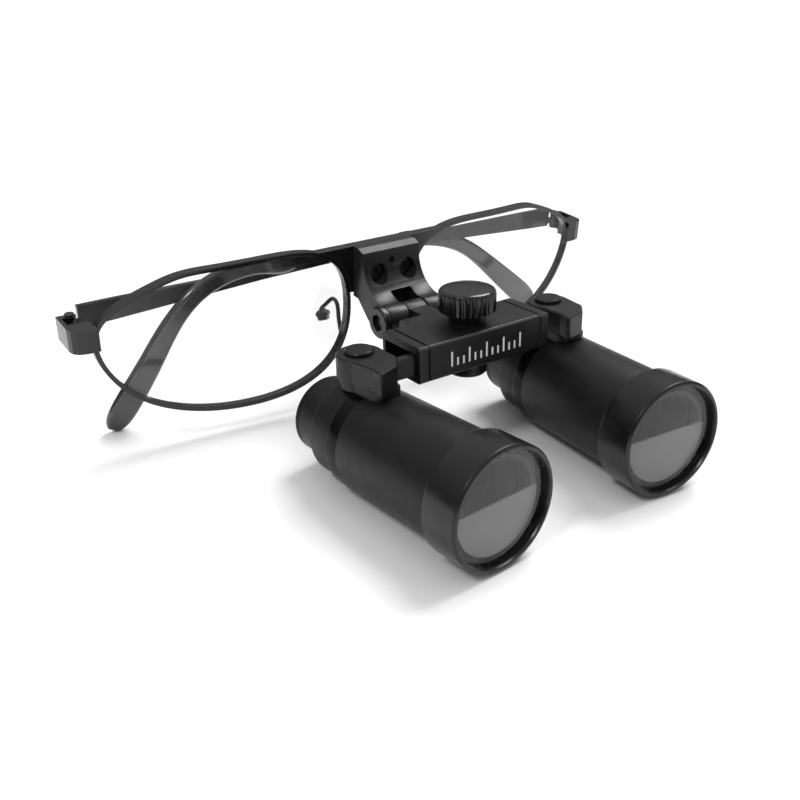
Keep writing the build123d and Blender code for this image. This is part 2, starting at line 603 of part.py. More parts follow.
# ---------------------------------------------------------------- laying everything on the table
UNIT_TILT = degrees(atan2(TUBE_R - BEZEL_R, CONTACT_REAR - CONTACT_FRONT))
UNIT_HEIGHT = BEZEL_R * cos(radians(UNIT_TILT)) - CONTACT_FRONT * sin(radians(UNIT_TILT))


def turned(point, angle):
    """A (y, z) point turned about the X axis by an angle in degrees."""
    c, s = cos(radians(angle)), sin(radians(angle))
    return point[0] * c - point[1] * s, point[0] * s + point[1] * c


def frame_origin():
    """Where the spectacles' origin comes, so that the two halves of the hinge meet."""
    unit = turned(HINGE_U, UNIT_TILT)
    own = turned(HINGE_S, FRAME_TILT)
    return unit[0] - own[0], unit[1] + UNIT_HEIGHT - own[1]


UNIT_PLACE = Pos(0, 0, UNIT_HEIGHT) * Rot(X=UNIT_TILT)
FRAME_PLACE = Pos(0, *frame_origin()) * Rot(X=FRAME_TILT)


def barrel_place(side):
    return UNIT_PLACE * Pos(side * PIVOT_X, PIVOT_Y) * Rot(Z=-side * TOE_IN)


def all_nodes():
    nodes = {"bridge_plate": FRAME_PLACE * bridge_plate(), "bracket": FRAME_PLACE * bracket()}
    for name, maker in (("bracket_screws", bracket_screws), ("hinge_pin", hinge_pin),
                        ("hinge_washer", hinge_washer), ("hinge_nut", hinge_nut),
                        ("temple_screws", temple_screws), ("pad_screws", pad_screws)):
        nodes[name] = FRAME_PLACE * maker()
    for name, maker in (("crossbar_housing", crossbar_housing), ("pinion_bush", pinion_bush),
                        ("pinion_cap", pinion_cap), ("friction_washer", friction_washer),
                        ("knob", knob), ("knob_grub_screw", knob_grub_screw), ("pinion_shaft", pinion_shaft)):
        nodes[name] = UNIT_PLACE * maker()
    for side, word in ((-1, "left"), (1, "right")):
        for name, maker in (("rim", rim), ("lens", lens), ("end_piece", end_piece), ("pad_arm", pad_arm),
                            ("temple_blade", temple_blade), ("temple_tip", temple_tip),
                            ("nose_pad", nose_pad)):
            nodes[f"{name}_{word}"] = FRAME_PLACE * maker(side)
        for name, maker in (("slide_arm", slide_arm), ("end_cap", end_cap)):
            nodes[f"{name}_{word}"] = UNIT_PLACE * maker(side)
        for name, maker in (("barrel_tube", barrel_tube), ("bezel", bezel), ("objective", objective),
                            ("lens_ring", lens_ring), ("baffle", baffle), ("erecting_lens", erecting_lens),
                            ("eyepiece", eyepiece_housing), ("eyepiece_lens", eyepiece_lens),
                            ("eyecup", eyecup), ("saddle", saddle), ("saddle_screws", saddle_screws),
                            ("focus_screw", focus_screw), ("pivot_screw", pivot_screw)):
            nodes[f"{name}_{word}"] = barrel_place(side) * on_side(maker(), side)
    return nodes


def centring(nodes):
    """The slide that puts the origin under the middle of the whole, at table height."""
    boxes = [shape.bounding_box() for shape in nodes.values()]
    low = [min(getattr(box.min, axis) for box in boxes) for axis in "XYZ"]
    high = [max(getattr(box.max, axis) for box in boxes) for axis in "XYZ"]
    return Pos(-(low[0] + high[0]) / 2, -(low[1] + high[1]) / 2, -low[2])


if __name__ == "__main__":
    os.makedirs("parts", exist_ok=True)
    pieces = all_nodes()
    slide = centring(pieces)
    for node, shape in pieces.items():
        export_step(slide * shape, f"parts/{node}.step")
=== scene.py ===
import json
import math

import bmesh
import bpy
import numpy as np
from mathutils import Matrix, Vector


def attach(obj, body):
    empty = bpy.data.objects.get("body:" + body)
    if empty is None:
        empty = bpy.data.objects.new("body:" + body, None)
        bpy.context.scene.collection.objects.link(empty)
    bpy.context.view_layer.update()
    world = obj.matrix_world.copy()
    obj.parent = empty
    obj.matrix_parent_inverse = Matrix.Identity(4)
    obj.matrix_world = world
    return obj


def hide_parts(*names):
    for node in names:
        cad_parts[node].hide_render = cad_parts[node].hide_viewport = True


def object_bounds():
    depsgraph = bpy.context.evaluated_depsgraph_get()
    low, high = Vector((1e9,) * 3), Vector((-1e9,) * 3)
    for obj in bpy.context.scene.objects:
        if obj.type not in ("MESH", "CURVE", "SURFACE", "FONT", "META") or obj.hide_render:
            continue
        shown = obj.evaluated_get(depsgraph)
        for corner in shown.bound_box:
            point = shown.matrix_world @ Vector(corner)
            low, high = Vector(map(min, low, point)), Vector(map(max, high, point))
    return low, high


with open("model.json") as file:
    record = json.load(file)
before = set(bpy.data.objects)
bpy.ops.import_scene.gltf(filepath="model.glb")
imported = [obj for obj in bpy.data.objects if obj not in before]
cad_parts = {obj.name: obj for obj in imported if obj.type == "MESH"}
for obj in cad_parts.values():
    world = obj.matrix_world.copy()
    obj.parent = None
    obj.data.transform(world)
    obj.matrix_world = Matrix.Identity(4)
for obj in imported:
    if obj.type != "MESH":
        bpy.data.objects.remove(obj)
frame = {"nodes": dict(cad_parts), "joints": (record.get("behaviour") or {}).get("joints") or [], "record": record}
cad_box = [list(corner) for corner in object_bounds()]
JOINTS = {joint["name"]: joint for joint in frame["joints"]}
MOUNTS = {mount["name"]: mount for mount in frame["record"]["mounts"]}
MM = 0.001
SIDES = ((-1, "left"), (1, "right"))

# ---------------------------------------------------------------- places, in millimetres, from the frame
X_AXIS = Vector((1, 0, 0))
HINGE = Vector(JOINTS["flip"]["pos_m"])


def place_from(x, y, z, origin):
    """A matrix from local millimetres to the frame's metres."""
    turn = Matrix((x, y, z)).transposed() * MM
    return Matrix.Translation(origin) @ turn.to_4x4()


def place_at_hinge(z, hinge_y, hinge_z):
    z = Vector(z).normalized()
    y = z.cross(X_AXIS)
    return place_from(X_AXIS, y, z, HINGE - MM * (hinge_y * y + hinge_z * z))


UNIT = place_at_hinge(JOINTS["knob_turn"]["axis"], 58.2, 15.2)
SPECS = place_at_hinge(-Vector(JOINTS["temple_right"]["axis"]), -14.05, -3.25)


def barrel_place(word):
    """Origin on the pivot's axis at the height of the barrel's axis; -Y is where the barrel looks."""
    mount, pivot = MOUNTS["objective_ring_" + word], JOINTS["converge_" + word]
    y, z = -Vector(mount["axis"]), Vector(pivot["axis"]).normalized()
    at = Vector(mount["pos_m"])
    origin = at + y * (Vector(pivot["pos_m"]) - at).dot(y)
    return place_from(y.cross(z), y, z, origin)


BARREL = {word: barrel_place(word) for side, word in SIDES}


# ---------------------------------------------------------------- materials
class Nodes:
    """A Principled material, with short ways to wire the nodes in front of it."""

    def __init__(self, name):
        self.material = bpy.data.materials.new(name)
        self.material.use_nodes = True
        self.tree = self.material.node_tree
        self.shader = self.tree.nodes["Principled BSDF"]
        self.place = self.add("ShaderNodeTexCoord").outputs["Object"]

    def add(self, kind, **settings):
        node = self.tree.nodes.new(kind)
        for key, value in settings.items():
            setattr(node, key, value)
        return node

    def link(self, start, end):
        self.tree.links.new(start, end)

    def set(self, **sockets):
        for key, value in sockets.items():
            self.shader.inputs[key.replace("_", " ")].default_value = value

    def noise(self, scale, detail=4.0, rough=0.55, stretch=None):
        node = self.add("ShaderNodeTexNoise")
        node.inputs["Scale"].default_value = scale
        node.inputs["Detail"].default_value = detail
        node.inputs["Roughness"].default_value = rough
        where = self.place
        if stretch:
            mapping = self.add("ShaderNodeMapping")
            mapping.inputs["Scale"].default_value = stretch
            self.link(where, mapping.inputs["Vector"])
            where = mapping.outputs["Vector"]
        self.link(where, node.inputs["Vector"])
        return node.outputs["Fac"]

    def ramp(self, value, stops):
        node = self.add("ShaderNodeValToRGB")
        ramp = node.color_ramp
        while len(ramp.elements) < len(stops):
            ramp.elements.new(0.5)
        for element, (at, shade) in zip(ramp.elements, stops):
            element.position = at
            colour = shade if isinstance(shade, tuple) else (shade, shade, shade)
            element.color = (*colour, 1.0)
        self.link(value, node.inputs["Fac"])
        return node.outputs["Color"]

    def mix(self, factor, a, b):
        node = self.add("ShaderNodeMix", data_type="RGBA")
        if isinstance(factor, float):
            node.inputs[0].default_value = factor
        else:
            self.link(factor, node.inputs[0])
        self.link(a, node.inputs[6])
        self.link(b, node.inputs[7])
        return node.outputs[2]

    def bump(self, height, strength, distance, before=None):
        node = self.add("ShaderNodeBump")
        node.inputs["Strength"].default_value = strength
        node.inputs["Distance"].default_value = distance
        self.link(height, node.inputs["Height"])
        if before:
            self.link(before, node.inputs["Normal"])
        return node.outputs["Normal"]


def coated_metal(name, dark, light, rough, grain, wear=0.0, coat=0.0, shine=0.35):
    """Satin lacquer over metal: mottled black, fine grain, and faint scuffs."""
    m = Nodes(name)
    cloud = m.noise(170, 5)
    colour = m.ramp(cloud, [(0.3, dark), (0.7, light)])
    scratch = m.noise(900, 6, 0.7, (1.0, 0.12, 1.0))
    scuffs = m.ramp(scratch, [(0.60, 0.0), (0.78, 1.0)])
    if wear:
        pale = m.ramp(cloud, [(0.0, light + wear), (1.0, light + wear)])
        colour = m.mix(scuffs, colour, m.mix(0.25, colour, pale))
    m.link(colour, m.shader.inputs["Base Color"])
    patches = m.noise(320, 4)
    m.link(m.ramp(patches, [(0.25, rough - 0.06), (0.75, rough + 0.07)]), m.shader.inputs["Roughness"])
    fine = m.bump(m.noise(grain, 3, 0.6), 0.35, 0.00002)
    m.link(m.bump(scuffs, 0.12, 0.00001, fine), m.shader.inputs["Normal"])
    m.set(Metallic=0.0, IOR=1.5, Specular_IOR_Level=shine, Coat_Weight=coat, Coat_Roughness=0.12)
    return m.material


def bare_metal(name, dark, light, rough):
    m = Nodes(name)
    cloud = m.noise(500, 5)
    m.link(m.ramp(cloud, [(0.3, dark), (0.7, light)]), m.shader.inputs["Base Color"])
    m.link(m.ramp(m.noise(1200, 4), [(0.2, rough - 0.05), (0.8, rough + 0.08)]), m.shader.inputs["Roughness"])
    m.link(m.bump(m.noise(4200, 4, 0.6, (1.0, 1.0, 0.2)), 0.2, 0.00001), m.shader.inputs["Normal"])
    m.set(Metallic=1.0)
    return m.material


def glossy_plastic(name, dark, light):
    """Dark translucent-looking acetate: soft clouds under a polished surface."""
    m = Nodes(name)
    cloud = m.noise(60, 4, 0.5, (1.0, 2.0, 1.0))
    m.link(m.ramp(cloud, [(0.25, dark), (0.75, light)]), m.shader.inputs["Base Color"])
    m.link(m.ramp(m.noise(240, 4), [(0.3, 0.12), (0.7, 0.2)]), m.shader.inputs["Roughness"])
    m.link(m.bump(m.noise(300, 2), 0.05, 0.00002), m.shader.inputs["Normal"])
    m.set(IOR=1.5, Coat_Weight=0.6, Coat_Roughness=0.05)
    return m.material


def sheen_factor(m, low, high):
    """How much a surface shines: low face on, high at a grazing view, the same from both sides."""
    facing = m.add("ShaderNodeLayerWeight")
    facing.inputs["Blend"].default_value = 0.5
    power = m.add("ShaderNodeMath", operation="POWER")
    m.link(facing.outputs["Facing"], power.inputs[0])
    power.inputs[1].default_value = 4.0
    return m.ramp(power.outputs["Value"], [(0.0, low), (1.0, high)])


def clear_glass(name, tint, low=0.03, high=0.6, dust=0.012, glow=0.03):
    """Thin clear sheet: seen through almost unchanged, with a gloss at a low view and faint dust."""
    m = Nodes(name)
    see = m.add("ShaderNodeBsdfTransparent")
    see.inputs["Color"].default_value = (tint, tint, tint, 1)
    shine = m.add("ShaderNodeBsdfGlossy")
    shine.inputs["Roughness"].default_value = glow
    shine.inputs["Color"].default_value = (0.9, 0.9, 0.9, 1)
    m.link(m.bump(m.noise(120, 4), 0.02, 0.00002), shine.inputs["Normal"])
    clear = m.add("ShaderNodeMixShader")
    m.link(sheen_factor(m, low, high), clear.inputs["Fac"])
    m.link(see.outputs["BSDF"], clear.inputs[1])
    m.link(shine.outputs["BSDF"], clear.inputs[2])
    powder = m.add("ShaderNodeBsdfDiffuse")
    powder.inputs["Color"].default_value = (0.5, 0.5, 0.5, 1)
    both = m.add("ShaderNodeMixShader")
    m.link(m.ramp(m.noise(2600, 5), [(0.45, 0.0), (0.85, dust * 4)]), both.inputs["Fac"])
    m.link(clear.outputs["Shader"], both.inputs[1])
    m.link(powder.outputs["BSDF"], both.inputs[2])
    m.link(both.outputs["Shader"], m.tree.nodes["Material Output"].inputs["Surface"])
    m.tree.nodes.remove(m.shader)
    return m.material


def plain_paper(name, shade):
    m = Nodes(name)
    m.link(m.ramp(m.noise(40, 3), [(0.3, shade - 0.004), (0.7, shade)]), m.shader.inputs["Base Color"])
    m.set(Roughness=0.9, Specular_IOR_Level=0.1)
    return m.material


SATIN = coated_metal("satin_black", 0.005, 0.010, 0.40, 5200, 0.05, shine=0.32)
TUBE = coated_metal("tube_black", 0.004, 0.008, 0.42, 6500, 0.03, shine=0.27)
BEZEL = coated_metal("bezel_black", 0.005, 0.009, 0.24, 5200, 0.05, shine=0.36)
# Darker, glossier copy of the tube finish for the band at the tube's rear end; its darker colour is painted shade on
# the rear edge that faces away from the light.
SHADED_BAND = coated_metal("painted_shade_band", 0.002, 0.003, 0.22, 3000, shine=0.12)
KNOB = coated_metal("knob_black", 0.003, 0.006, 0.17, 4200, 0.03, 0.3)
FRAME = coated_metal("frame_black", 0.004, 0.008, 0.22, 5200, 0.04, 0.15, 0.4)
BRACKET = coated_metal("bracket_black", 0.006, 0.012, 0.34, 5200, 0.06, 0.0, 0.35)
INSIDE = coated_metal("inside_black", 0.003, 0.006, 0.5, 3000, shine=0.2)
BORE = coated_metal("bore_grey", 0.020, 0.035, 0.35, 3000, shine=0.5)
GUN = bare_metal("gun_metal", 0.10, 0.17, 0.30)
BRASS = bare_metal("turned_brass", 0.34, 0.42, 0.3)
TIP = glossy_plastic("tip_plastic", 0.014, 0.040)
GLASS = clear_glass("clear_lens", 0.97, 0.02, 0.35, 0.002)
COATED = clear_glass("coated_lens", 0.90, 0.03, 0.6, 0.0, 0.02)
PAD = clear_glass("clear_silicone", 0.93, 0.05, 0.8, 0.01, 0.2)
# Light grey for a flat plate inside each objective: a painted reflection of the white table in the lower half of the
# lens.
PAINTED_REFLECTION = coated_metal("painted_table_reflection", 0.17, 0.21, 0.35, 2000)
WHITE = plain_paper("white_mark", 0.82)


# ---------------------------------------------------------------- meshes
def add_piece(name, verts, faces, place, material, body, stands_for=(), slot=None, sharp=32):
    """A mesh from local millimetres, riding on a body."""
    mesh = bpy.data.meshes.new(name)
    points = [place @ Vector(v) for v in verts]
    mesh.from_pydata(points, [], faces)
    bm = bmesh.new()
    bm.from_mesh(mesh)
    bmesh.ops.remove_doubles(bm, verts=bm.verts, dist=1e-7)
    bmesh.ops.recalc_face_normals(bm, faces=bm.faces)
    bm.to_mesh(mesh)
    bm.free()
    for face in mesh.polygons:
        face.use_smooth = True
    mesh.set_sharp_from_angle(angle=math.radians(sharp))
    mesh.materials.append(material)
    piece = bpy.data.objects.new(name, mesh)
    bpy.context.scene.collection.objects.link(piece)
    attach(piece, body)
    if stands_for:
        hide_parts(*stands_for)
    return piece


def bevelled(piece, width, segments=3, angle=30):
    """Rounds the piece's edges; width in millimetres."""
    edge = piece.modifiers.new("edges", "BEVEL")
    edge.width = width * MM
    edge.segments = segments
    edge.limit_method = "ANGLE"
    edge.angle_limit = math.radians(angle)
    edge.harden_normals = True
    edge.use_clamp_overlap = True
    return piece


def dress(node, material, width=0.0):
    """Gives a CAD node its finish and softened edges."""
    piece = frame["nodes"][node]
    piece.data.materials.clear()
    piece.data.materials.append(material)
    if width:
        weld = piece.modifiers.new("weld", "WELD")
        weld.merge_threshold = 1e-6
        bevelled(piece, width)
    return piece


def arc_corner(before, corner, after, radius, steps=4):
    """Points that round one corner of an outline."""
    a, b = np.subtract(before, corner), np.subtract(after, corner)
    la, lb = np.linalg.norm(a), np.linalg.norm(b)
    a, b = a / la, b / lb
    cosine = float(np.clip(a @ b, -1, 1))
    if cosine < -0.995 or radius <= 0:
        return [tuple(corner)]
    half = math.acos(cosine) / 2
    reach = min(radius / math.tan(half), 0.42 * la, 0.42 * lb)
    start, end = np.add(corner, a * reach), np.add(corner, b * reach)
    points = []
    for i in range(steps + 1):
        t = i / steps
        points.append(tuple((1 - t) ** 2 * start + 2 * t * (1 - t) * np.array(corner) + t * t * end))
    return points


def rounded(outline, radius, steps=4):
    """A closed outline with every corner rounded."""
    count = len(outline)
    points = []
    for i in range(count):
        size = radius[i] if isinstance(radius, (list, tuple)) else radius
        points += arc_corner(outline[i - 1], outline[i], outline[(i + 1) % count], size, steps)
    return points


def turned(profile, count=160):
    """Vertices and faces of a closed (radius, y) profile turned about Y."""
    verts, faces = [], []
    rows = len(profile)
    for r, y in profile:
        for k in range(count):
            a = 2 * math.pi * k / count
            verts.append((r * math.cos(a), y, r * math.sin(a)))
    for i in range(rows):
        j = (i + 1) % rows
        if profile[i][0] < 1e-6 and profile[j][0] < 1e-6:
            continue
        for k in range(count):
            n = (k + 1) % count
            faces.append((i * count + k, j * count + k, j * count + n, i * count + n))
    return verts, faces


def prism(outline, z0, z1):
    """An outline in x and y, pushed up from z0 to z1."""
    count = len(outline)
    verts = [(x, y, z0) for x, y in outline] + [(x, y, z1) for x, y in outline]
    faces = [tuple(range(count - 1, -1, -1)), tuple(range(count, 2 * count))]
    for i in range(count):
        j = (i + 1) % count
        faces.append((i, j, count + j, count + i))
    return verts, faces


def swept(path, section, closed=False, up=(0, 0, 1)):
    """A section (list of (u, v)) along points; u lies across in the up-side plane, v along up."""
    pts = [np.array(p, float) for p in path]
    count, width = len(pts), len(section)
    verts = []
    for i in range(count):
        before = pts[i - 1] if closed or i else pts[0]
        after = pts[(i + 1) % count] if closed or i < count - 1 else pts[-1]
        ahead = (after - before) / np.linalg.norm(after - before)
        guide = np.array(up[i] if hasattr(up[0], "__len__") else up, float)
        side = np.cross(ahead, guide)
        side /= np.linalg.norm(side)
        top = np.cross(side, ahead)
        for u, v in section:
            verts.append(tuple(pts[i] + side * u + top * v))
    faces = []
    for i in range(count if closed else count - 1):
        j = (i + 1) % count
        for k in range(width):
            n = (k + 1) % width
            faces.append((i * width + k, j * width + k, j * width + n, i * width + n))
    if not closed:
        faces.append(tuple(range(width)))
        faces.append(tuple(range((count - 1) * width, count * width))[::-1])
    return verts, faces


def circle_section(radius, count=16):
    return [(radius * math.cos(2 * math.pi * k / count), radius * math.sin(2 * math.pi * k / count))
            for k in range(count)]


def smooth_path(points, per=10):
    """Catmull-Rom points through a list of points."""
    pts = [np.array(p, float) for p in points]
    pts = [2 * pts[0] - pts[1]] + pts + [2 * pts[-1] - pts[-2]]
    out = []
    for i in range(1, len(pts) - 2):
        p0, p1, p2, p3 = pts[i - 1:i + 3]
        for k in range(per):
            t = k / per
            out.append(0.5 * ((2 * p1) + (p2 - p0) * t + (2 * p0 - 5 * p1 + 4 * p2 - p3) * t * t
                              + (3 * p1 - p0 - 3 * p2 + p3) * t ** 3))
    out.append(pts[-2])
    return [tuple(p) for p in out]


def flipped(verts, side):
    return verts if side > 0 else [(-x, y, z) for x, y, z in verts]


# ---------------------------------------------------------------- barrels
FRONT, BEZEL_END = -41.3, -32.8
TUBE_R, TUBE_END, BAND_START, STEP_R, STEP_END = 11.21, -2.0, -5.6, 10.4, 4.2
EYE_R, EYE_END, CUP_END = 8.4, 11.2, 12.8
GLASS_R = 11.3


def lens_profile(radius, front, edge, crown):
    """Half section of a lens with a bulging front: (radius, y) points."""
    ball = (radius * radius + crown * crown) / (2 * crown)
    arc = [radius * i / 16 for i in range(17)]
    return [(r, front - crown + ball - math.sqrt(ball * ball - r * r)) for r in arc] + [(radius, front + edge),
                                                                                       (0.0, front + edge)]


def half_disc(radius, top, y0, y1, count=48):
    """Flat plate filling a round hole up to the height `top`."""
    start = math.asin(top / radius)
    outline = [(radius * math.cos(a), radius * math.sin(a))
               for a in np.linspace(start, -math.pi - start, count)]
    verts, faces = prism(outline, 0, y1 - y0)
    return [(x, y0 + z, y) for x, y, z in verts], faces


def make_barrel(side, word):
    place, body = BARREL[word], "barrel_" + word
    ring = rounded([(9.9, FRONT + 1.9), (GLASS_R, FRONT + 1.9), (GLASS_R, FRONT + 0.5), (11.5, FRONT),
                    (12.05, FRONT), (12.47, FRONT + 0.42), (12.47, BEZEL_END), (9.9, BEZEL_END)],
                   [0, 0, 0.1, 0.12, 0.3, 0.3, 0.35, 0.05])
    add_piece("bezel_ring_" + word, *turned(ring), place, BEZEL, body, ["bezel_" + word], "black_metal", 40)
    shell = rounded([(9.9, BEZEL_END + 0.05), (TUBE_R, BEZEL_END + 0.05), (TUBE_R, BAND_START),
                     (9.9, BAND_START)], [0, 0.05, 0.12, 0.05])
    add_piece("tube_shell_" + word, *turned(shell), place, TUBE, body, ["barrel_tube_" + word], "black_metal", 40)
    # Rear band of the tube in the darker finish: painted shade at the tube's rear end.
    band = rounded([(9.9, BAND_START + 0.05), (TUBE_R - 0.1, BAND_START + 0.05), (TUBE_R - 0.1, TUBE_END),
                    (STEP_R - 0.4, TUBE_END), (STEP_R - 0.4, TUBE_END - 1.0), (9.9, TUBE_END - 1.0)],
                   [0, 0.1, 0.45, 0.05, 0, 0])
    add_piece("tube_band_" + word, *turned(band), place, SHADED_BAND, body, (), "black_metal", 40)
    collar = rounded([(9.3, TUBE_END - 1.0), (STEP_R - 0.45, TUBE_END - 1.0), (STEP_R - 0.45, TUBE_END),
                      (STEP_R, TUBE_END), (STEP_R, STEP_END), (7.4, STEP_END), (7.4, STEP_END - 2.5),
                      (9.3, STEP_END - 2.5)], [0, 0, 0, 0.05, 0.4, 0.1, 0, 0])
    add_piece("rear_collar_" + word, *turned(collar), place, TUBE, body, (), "black_metal", 40)

    eye = rounded([(6.2, STEP_END - 2.4), (7.35, STEP_END - 2.4), (7.35, STEP_END + 0.02), (EYE_R, STEP_END + 0.02),
                   (EYE_R, EYE_END), (7.4, EYE_END), (7.4, EYE_END - 2.2), (6.2, EYE_END - 2.2)], 0.12)
    add_piece("eyepiece_shell_" + word, *turned(eye), place, TUBE, body, ["eyepiece_" + word], "black_metal", 40)
    cup = rounded([(5.6, EYE_END + 0.02), (EYE_R, EYE_END + 0.02), (EYE_R, CUP_END), (6.6, CUP_END)],
                  [0.1, 0.1, 0.6, 0.3])
    add_piece("eyecup_ring_" + word, *turned(cup), place, INSIDE, body, ["eyecup_" + word], "soft_black", 40)

    spanner = rounded([(8.9, FRONT + 2.3), (9.85, FRONT + 2.3), (9.85, FRONT + 4.0), (8.6, FRONT + 4.0)], 0.1)
    add_piece("inner_ring_" + word, *turned(spanner), place, SATIN, body, ["lens_ring_" + word], "black_metal", 40)
    lens = lens_profile(GLASS_R - 0.02, FRONT + 1.15, 0.75, 0.9)
    glass = add_piece("objective_glass_" + word, *turned(lens), place, COATED, body, ["objective_" + word],
                      "objective_glass", 40)
    glass.visible_shadow = False
    # Grey half-disc behind the objective glass: painted reflection of the table in the lower half of the lens.
    add_piece("painted_table_reflection_" + word, *half_disc(9.85, 0.9, FRONT + 1.95, FRONT + 2.25), place, PAINTED_REFLECTION, body, (),
              "objective_glass", 40)


for side, word in SIDES:
    make_barrel(side, word)


# ---------------------------------------------------------------- knob
KNOB_Y, KNOB_R, KNOB_LOW, KNOB_TOP = 38.2, 6.06, 21.69, 26.86
HUB_R, HUB_LOW, FLUTES = 4.0, 19.42, 30


def fluted_ring(radius, depth, z, count):
    """One ring of the knob: round ridges between deep round-bottomed flutes."""
    points = []
    for k in range(count):
        a = 2 * math.pi * k / count
        groove = 0.5 + 0.5 * math.cos(FLUTES * a)
        points.append(((radius - depth * groove ** 0.7) * math.cos(a),
                       (radius - depth * groove ** 0.7) * math.sin(a) + KNOB_Y, z))
    return points


def make_knob():
    count = FLUTES * 12
    rows = [(HUB_R - 0.15, 0, HUB_LOW), (HUB_R, 0, HUB_LOW + 0.15), (HUB_R, 0, KNOB_LOW - 0.1),
            (HUB_R + 0.1, 0, KNOB_LOW), (KNOB_R - 0.55, 0.1, KNOB_LOW), (KNOB_R - 0.12, 0.36, KNOB_LOW + 0.1),
            (KNOB_R, 0.46, KNOB_LOW + 0.3), (KNOB_R, 0.46, KNOB_TOP - 1.35), (KNOB_R - 0.03, 0.4, KNOB_TOP - 1.1),
            (KNOB_R - 0.1, 0.25, KNOB_TOP - 0.92), (KNOB_R - 0.2, 0.08, KNOB_TOP - 0.74),
            (KNOB_R - 0.34, 0, KNOB_TOP - 0.6), (KNOB_R - 0.6, 0, KNOB_TOP - 0.45), (KNOB_R - 1.0, 0, KNOB_TOP - 0.34)]
    rows += [(r, 0, KNOB_TOP - 0.011 * r * r) for r in (4.0, 3.0, 2.0, 1.2, 0.5)]
    verts = []
    for radius, depth, z in rows:
        verts += fluted_ring(radius, depth, z, count)
    faces = [tuple(range(count))]
    for i in range(len(rows) - 1):
        for k in range(count):
            n = (k + 1) % count
            faces.append((i * count + k, i * count + n, (i + 1) * count + n, (i + 1) * count + k))
    faces.append(tuple(range((len(rows) - 1) * count, len(rows) * count)))
    add_piece("knurled_knob", verts, faces, UNIT, KNOB, "knob", ["knob"], "black_metal", 50)


make_knob()


# ---------------------------------------------------------------- marks on the front of the cross bar
def make_marks():
    """Plain graduation in white on the bar's front face."""
    verts, faces = [], []
    for i in range(13):
        x = -9.0 + 1.5 * i
        height = 3.2 if i % 3 == 0 else 1.7
        start = len(verts)
        low = (x - 0.22, 31.62, 13.4)
        high = (x + 0.22, 31.66, 13.4 + height)
        verts += [(a, b, c) for a in (low[0], high[0]) for b in (low[1], high[1]) for c in (low[2], high[2])]
        for quad in ((0, 1, 3, 2), (4, 6, 7, 5), (0, 4, 5, 1), (2, 3, 7, 6), (0, 2, 6, 4), (1, 5, 7, 3)):
            faces.append(tuple(start + k for k in quad))
    add_piece("graduation_marks", verts, faces, UNIT, WHITE, "crossbar", (), "black_metal")


make_marks()


# ---------------------------------------------------------------- nose pads and their arms
PAD_TURN, PAD_LEAN = math.radians(55), math.radians(-14)
PAD_PLACE = (Matrix.Translation((9.0, 9.3, -10.3)) @ Matrix.Rotation(PAD_TURN, 4, "Z")
             @ Matrix.Rotation(PAD_LEAN, 4, "X"))
PAD_HALF = (3.8, 7.25)


def pad_row(shrink, y, count=64):
    """An egg-shaped ring of the pad, drawn in from its outline by `shrink`."""
    points = []
    for k in range(count):
        a = 2 * math.pi * k / count
        taper = 1 - 0.10 * math.sin(a)
        points.append(((PAD_HALF[0] - shrink) * math.cos(a) * taper, y, (PAD_HALF[1] - shrink) * math.sin(a)))
    return points


def make_nose_pad(side, word):
    rows = [(3.0, -0.02), (1.2, 0.02), (0.35, 0.12), (0.08, 0.4), (0.0, 0.8), (0.12, 1.2), (0.5, 1.5), (1.3, 1.7),
            (2.4, 1.79), (3.2, 1.8)]
    count = 64
    verts, faces = [], []
    for shrink, y in rows:
        verts += pad_row(shrink, y, count)
    for i in range(len(rows) - 1):
        for k in range(count):
            n = (k + 1) % count
            faces.append((i * count + k, i * count + n, (i + 1) * count + n, (i + 1) * count + k))
    faces += [tuple(range(count)), tuple(range((len(rows) - 1) * count, len(rows) * count))]
    verts = flipped([tuple(PAD_PLACE @ Vector(v)) for v in verts], side)
    pad = add_piece("soft_pad_" + word, verts, faces, SPECS, PAD, "nose_pad_" + word, ["nose_pad_" + word],
                    "silicone", 60)


def make_pad_arm(side, word):
    """Bent wire from the rim to the flower-shaped box behind the pad."""
    end = PAD_PLACE @ Vector((0, -2.6, 0.4))
    path = smooth_path([(9.6, 0.6, -13.4), (9.0, 3.0, -9.8), (8.4, 4.8, -6.4), (8.7, 6.4, -5.3), (10.3, 7.2, -6.8),
                        (end.x + 0.05, end.y, end.z + 1.2), tuple(end)], 8)
    wire = swept(path, circle_section(0.5, 14), up=(0, 1, 0))
    add_piece("pad_wire_" + word, flipped(wire[0], side), wire[1], SPECS, FRAME, "spectacles", ["pad_arm_" + word],
              "frame_metal", 60)
    verts, faces = [], []
    count = 60
    rows = [(0.5, -2.95), (1.15, -2.9), (1.35, -2.7), (1.45, -2.3), (1.45, -0.55), (1.3, -0.42), (0.6, -0.4)]
    for radius, y in rows:
        for k in range(count):
            a = 2 * math.pi * k / count
            lobe = radius * (1 + 0.09 * math.cos(5 * a))
            verts.append((lobe * math.cos(a), y, lobe * math.sin(a)))
    for i in range(len(rows) - 1):
        for k in range(count):
            n = (k + 1) % count
            faces.append((i * count + k, i * count + n, (i + 1) * count + n, (i + 1) * count + k))
    faces += [tuple(range(count)), tuple(range((len(rows) - 1) * count, len(rows) * count))]
    verts = flipped([tuple(PAD_PLACE @ Vector(v)) for v in verts], side)
    add_piece("pad_box_" + word, verts, faces, SPECS, FRAME, "spectacles", (), "frame_metal", 50)


for side, word in SIDES:
    make_nose_pad(side, word)
    make_pad_arm(side, word)

